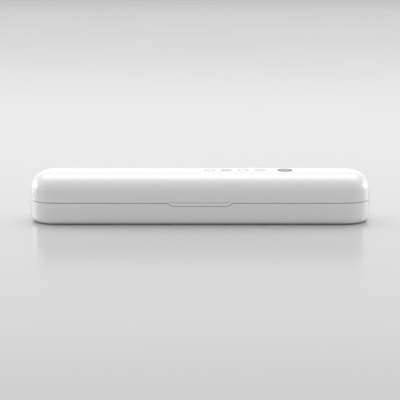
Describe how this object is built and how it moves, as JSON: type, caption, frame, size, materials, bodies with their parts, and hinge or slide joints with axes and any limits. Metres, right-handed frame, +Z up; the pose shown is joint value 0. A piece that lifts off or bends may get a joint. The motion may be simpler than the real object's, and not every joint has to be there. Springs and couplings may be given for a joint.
{
  "type": "toothbrush sanitizer",
  "caption": "Slim rounded clamshell case with a rear-hinged lid, a front lift tab, round indicator windows and a push button, lined to hold a toothbrush under a UV-C lamp.",
  "frame": {"origin": "middle of the box round the whole object, at the surface that it stands on", "axes": "+X along the case towards the power button, +Y from the lift tab at the front to the hinge at the back, +Z up"},
  "size_m": [0.22, 0.0412, 0.0321],
  "materials": {
    "case_white": "satin moulded white",
    "liner_white": "fine moulded texture",
    "silicone_grey": "matt soft silicone",
    "foot_rubber": "matt rubber",
    "screw_steel": "zinc plated",
    "pin_steel": "ground",
    "magnet_nickel": "nickel plated",
    "reflector": "polished sheet",
    "ring_grey": "satin",
    "lens_clear": "frosted clear, polished face",
    "bezel_dark": "anodised, satin",
    "button_grey": "satin",
    "board_green": "solder mask",
    "board_metal": "white solder mask on aluminium",
    "chip_black": "moulded epoxy",
    "part_tan": "ceramic",
    "lamp_white": "lamp body",
    "switch_body": "pressed steel",
    "switch_stem": "moulded",
    "guard_black": "moulded",
    "cell_foil": "foil pouch",
    "foam_black": "closed-cell foam",
    "plug_cream": "moulded nylon",
    "wire_red": "insulation",
    "wire_black": "insulation",
    "wire_white": "insulation",
    "quartz": "polished quartz",
    "socket_steel": "pressed steel"
  },
  "bodies": {
    "base": {"base_shell": "case_white", "brush_tray": "liner_white", "tray_screws": "screw_steel", "head_reflector": "reflector", "head_rest": "silicone_grey", "handle_rest": "silicone_grey", "base_magnets": "magnet_nickel", "sensor_magnet": "magnet_nickel", "rim_seal": "silicone_grey", "hinge_pins": "pin_steel", "foot_pads": "foot_rubber"},
    "lid": {"lid_shell": "case_white", "lid_liner": "liner_white", "liner_screws": "screw_steel", "lid_magnets": "magnet_nickel", "control_board": "board_green", "board_screws": "screw_steel", "main_chip": "chip_black", "charge_chip": "chip_black", "board_components": "part_tan", "indicator_leds": "lamp_white", "light_guard": "guard_black", "indicator_lens_1": "lens_clear", "indicator_lens_2": "lens_clear", "indicator_lens_3": "lens_clear", "indicator_lens_4": "lens_clear", "indicator_ring_1": "ring_grey", "indicator_ring_2": "ring_grey", "indicator_ring_3": "ring_grey", "indicator_ring_4": "ring_grey", "tact_switch": "switch_body", "button_bezel": "bezel_dark", "lid_sensor": "chip_black", "battery_cell": "cell_foil", "battery_pad": "foam_black", "battery_plug": "plug_cream", "battery_lead_red": "wire_red", "battery_lead_black": "wire_black", "uvc_board": "board_metal", "uvc_leds": "lamp_white", "uvc_window": "quartz", "window_seal": "silicone_grey", "uvc_leads": "wire_white", "charge_socket": "socket_steel", "charge_board": "board_green", "charge_leads": "wire_white"},
    "button": {"power_button": "button_grey", "switch_plunger": "switch_stem"}
  },
  "joints": [
    {"name": "lid_hinge", "type": "hinge", "parent": "base", "child": "lid", "pos_m": [0, 0.0186, 0.0144], "axis": [-1, 0, 0], "range_deg": [0, 105]},
    {"name": "button_press", "type": "slide", "parent": "lid", "child": "button", "axis": [0, 0, -1], "range_m": [0, 0.0005], "stiffness_N_per_m": 300, "springref_m": -0.001}
  ]
}
